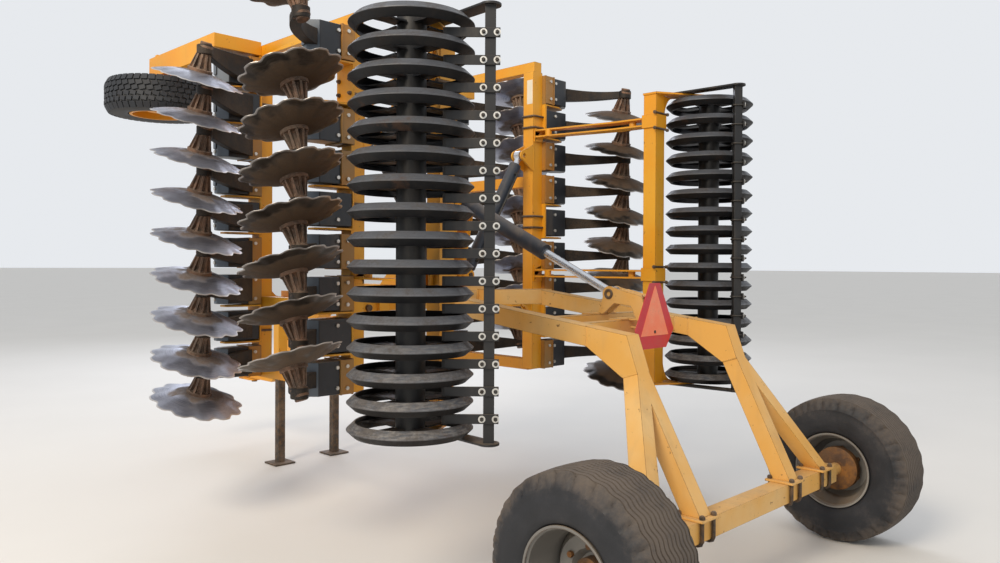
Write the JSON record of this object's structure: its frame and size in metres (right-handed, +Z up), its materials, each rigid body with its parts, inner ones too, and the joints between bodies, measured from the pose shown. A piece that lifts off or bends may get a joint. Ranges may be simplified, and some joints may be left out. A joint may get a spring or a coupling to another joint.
{
  "type": "folding disc harrow with packer rollers and transport carriage",
  "caption": "Towed folding disc harrow with its wings folded up, notched discs, roof-ring packer rollers and a lifting transport carriage.",
  "frame": {"origin": "middle of the footprint, on the ground, with the wings folded", "axes": "+Y to the front (travel), +X to the right, +Z up"},
  "size_m": [3.4518, 5.4979, 3.2497],
  "materials": {
    "yellow_paint": "worn gloss",
    "black_paint": "satin",
    "disc_steel": "polished by soil",
    "disc_soiled": "soil on steel",
    "roller_steel": "worn bare",
    "tyre_rubber": "matt",
    "rim_silver": "dull",
    "rim_yellow": "worn",
    "cylinder_paint": "satin",
    "rod_chrome": "polished",
    "bare_steel": "dull",
    "sign_red": "reflective"
  },
  "bodies": {
    "frame": {"centre_frame": "yellow_paint", "tower": "yellow_paint", "drawbar": "yellow_paint", "hinge_pins": "bare_steel"},
    "hitch": {"hitch_crossbar": "yellow_paint", "hitch_pins": "bare_steel"},
    "carriage": {"carriage_frame": "yellow_paint", "axle_beam": "yellow_paint", "axle_clamps": "bare_steel", "lift_bracket": "yellow_paint", "warning_sign": "sign_red"},
    "lift_barrel": {"lift_barrel": "cylinder_paint"},
    "lift_rod": {"lift_rod": "rod_chrome"},
    "stand_left": {"stand_left": "bare_steel"},
    "wheel_left": {"tyre_left": "tyre_rubber", "rim_left": "rim_silver"},
    "fold_barrel_left": {"fold_barrel_left": "cylinder_paint"},
    "fold_rod_left": {"fold_rod_left": "rod_chrome"},
    "wing_left": {"wing_frame_left": "yellow_paint", "clamp_boxes_left": "black_paint", "unit_brackets_left": "yellow_paint", "disc_arms_left": "black_paint", "discs_front_left": "disc_steel", "discs_rear_left": "disc_soiled", "roller_frame_left": "yellow_paint", "roller_arms_left": "yellow_paint", "scraper_bar_left": "black_paint", "scrapers_left": "bare_steel", "support_arm_left": "yellow_paint"},
    "roller_left": {"roller_left": "roller_steel"},
    "support_wheel_left": {"support_tyre_left": "tyre_rubber", "support_rim_left": "rim_yellow"},
    "stand_right": {"stand_right": "bare_steel"},
    "wheel_right": {"tyre_right": "tyre_rubber", "rim_right": "rim_silver"},
    "fold_barrel_right": {"fold_barrel_right": "cylinder_paint"},
    "fold_rod_right": {"fold_rod_right": "rod_chrome"},
    "wing_right": {"wing_frame_right": "yellow_paint", "clamp_boxes_right": "black_paint", "unit_brackets_right": "yellow_paint", "disc_arms_right": "black_paint", "discs_front_right": "disc_steel", "discs_rear_right": "disc_soiled", "roller_frame_right": "yellow_paint", "roller_arms_right": "yellow_paint", "scraper_bar_right": "black_paint", "scrapers_right": "bare_steel", "support_arm_right": "yellow_paint"},
    "roller_right": {"roller_right": "roller_steel"},
    "support_wheel_right": {"support_tyre_right": "tyre_rubber", "support_rim_right": "rim_yellow"}
  },
  "joints": [
    {"name": "hitch_swivel", "type": "hinge", "parent": "frame", "child": "hitch", "pos_m": [0, 2.569, 0.65], "axis": [0, 0, 1], "range_deg": [-60, 60]},
    {"name": "carriage_pivot", "type": "hinge", "parent": "frame", "child": "carriage", "pos_m": [0, -0.281, 1.425], "axis": [-1, 0, 0], "range_deg": [0, 45]},
    {"name": "lift_barrel_pivot", "type": "hinge", "parent": "frame", "child": "lift_barrel", "pos_m": [0, -0.231, 2.06], "axis": [-1, 0, 0], "range_deg": [0, 41.58]},
    {"name": "lift_rod_slide", "type": "slide", "parent": "lift_barrel", "child": "lift_rod", "axis": [0, -0.9074, -0.4202], "range_m": [-0.48319, 0]},
    {"name": "stand_slide_left", "type": "slide", "parent": "frame", "child": "stand_left", "axis": [0, 0, 1], "range_m": [0, 0.35]},
    {"name": "wheel_spin_left", "type": "hinge", "parent": "carriage", "child": "wheel_left", "pos_m": [-1.22, -2.324, 0.425], "axis": [1, 0, 0], "continuous": true},
    {"name": "wing_fold_left", "type": "hinge", "parent": "frame", "child": "wing_left", "pos_m": [-0.72, 0.419, 1.36], "axis": [0, -1, 0], "range_deg": [0, 90]},
    {"name": "fold_barrel_pivot_left", "type": "hinge", "parent": "frame", "child": "fold_barrel_left", "pos_m": [-0.13, -0.131, 1.56], "axis": [0, -1, 0], "range_deg": [0, 63.84]},
    {"name": "fold_rod_slide_left", "type": "slide", "parent": "fold_barrel_left", "child": "fold_rod_left", "axis": [-0.5229, 0, 0.8524], "range_m": [0, 0.6451]},
    {"name": "roller_spin_left", "type": "hinge", "parent": "wing_left", "child": "roller_left", "pos_m": [-1.33, -1.331, 1.8], "axis": [0, 0, 1], "continuous": true},
    {"name": "support_wheel_spin_left", "type": "hinge", "parent": "wing_left", "child": "support_wheel_left", "pos_m": [-1.15, 1.919, 2.87], "axis": [0, 0, 1], "continuous": true},
    {"name": "stand_slide_right", "type": "slide", "parent": "frame", "child": "stand_right", "axis": [0, 0, 1], "range_m": [0, 0.35]},
    {"name": "wheel_spin_right", "type": "hinge", "parent": "carriage", "child": "wheel_right", "pos_m": [1.22, -2.324, 0.425], "axis": [1, 0, 0], "continuous": true},
    {"name": "wing_fold_right", "type": "hinge", "parent": "frame", "child": "wing_right", "pos_m": [0.72, 0.419, 1.36], "axis": [0, 1, 0], "range_deg": [0, 90]},
    {"name": "fold_barrel_pivot_right", "type": "hinge", "parent": "frame", "child": "fold_barrel_right", "pos_m": [0.13, -0.131, 1.56], "axis": [0, 1, 0], "range_deg": [0, 63.84]},
    {"name": "fold_rod_slide_right", "type": "slide", "parent": "fold_barrel_right", "child": "fold_rod_right", "axis": [0.5229, 0, 0.8524], "range_m": [0, 0.6451]},
    {"name": "roller_spin_right", "type": "hinge", "parent": "wing_right", "child": "roller_right", "pos_m": [1.33, -1.331, 1.8], "axis": [0, 0, 1], "continuous": true},
    {"name": "support_wheel_spin_right", "type": "hinge", "parent": "wing_right", "child": "support_wheel_right", "pos_m": [1.15, 1.919, 2.87], "axis": [0, 0, 1], "continuous": true}
  ],
  "couplings": [
    {"joint": "lift_barrel_pivot", "follows": "carriage_pivot", "ratio": 0.91961},
    {"joint": "lift_rod_slide", "follows": "carriage_pivot", "m_per_rad": -0.61395},
    {"joint": "fold_barrel_pivot_left", "follows": "wing_fold_left", "ratio": 0.70707},
    {"joint": "fold_rod_slide_left", "follows": "wing_fold_left", "m_per_rad": 0.41005},
    {"joint": "fold_barrel_pivot_right", "follows": "wing_fold_right", "ratio": 0.70707},
    {"joint": "fold_rod_slide_right", "follows": "wing_fold_right", "m_per_rad": 0.41005}
  ]
}
